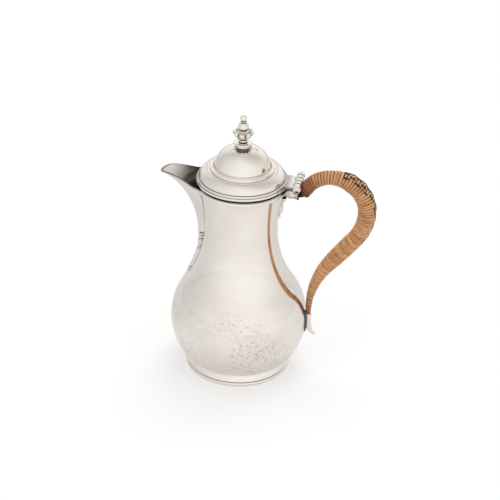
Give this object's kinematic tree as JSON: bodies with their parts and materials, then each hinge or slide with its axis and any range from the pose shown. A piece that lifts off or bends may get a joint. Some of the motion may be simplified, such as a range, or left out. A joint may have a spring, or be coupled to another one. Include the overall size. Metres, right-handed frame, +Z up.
{
  "type": "coffee pot",
  "caption": "Baluster silver coffee pot on a ring foot, with a beak spout, a hinged domed lid with a turned finial and a cane-bound wooden handle.",
  "frame": {"origin": "centre of the foot ring on the plane that the pot stands on", "axes": "+Z up along the pot's axis, +X towards the handle and hinge, -X towards the spout"},
  "size_m": [0.1652, 0.1052, 0.2148],
  "materials": {
    "silver": "polished, lightly worn",
    "handle_wood": "dark stained",
    "cane": "dry split cane",
    "dark_cane": "dark stained split cane"
  },
  "bodies": {
    "pot": {"body_shell": "silver", "foot_ring": "silver", "neck_rim": "silver", "spout": "silver", "spout_drop": "silver", "upper_socket": "silver", "socket_drop": "silver", "lower_socket": "silver", "handle_core": "handle_wood", "cane_binding": "cane", "cane_lacing": "dark_cane", "upper_socket_pin": "silver", "lower_socket_pin": "silver", "hinge_saddle": "silver", "hinge_pin": "silver"},
    "lid": {"lid_leaf": "silver", "lid_rim": "silver", "lid_bezel": "silver", "lid_cover": "silver", "lid_ring": "silver", "finial_base": "silver", "finial_calyx": "silver", "finial_knop": "silver", "finial_stud": "silver", "finial_washer": "silver", "finial_nut": "silver"}
  },
  "joints": [
    {"name": "lid_hinge", "type": "hinge", "parent": "pot", "child": "lid", "pos_m": [0.0431, 0, 0.1631], "axis": [0, 1, 0], "range_deg": [0, 105]}
  ]
}
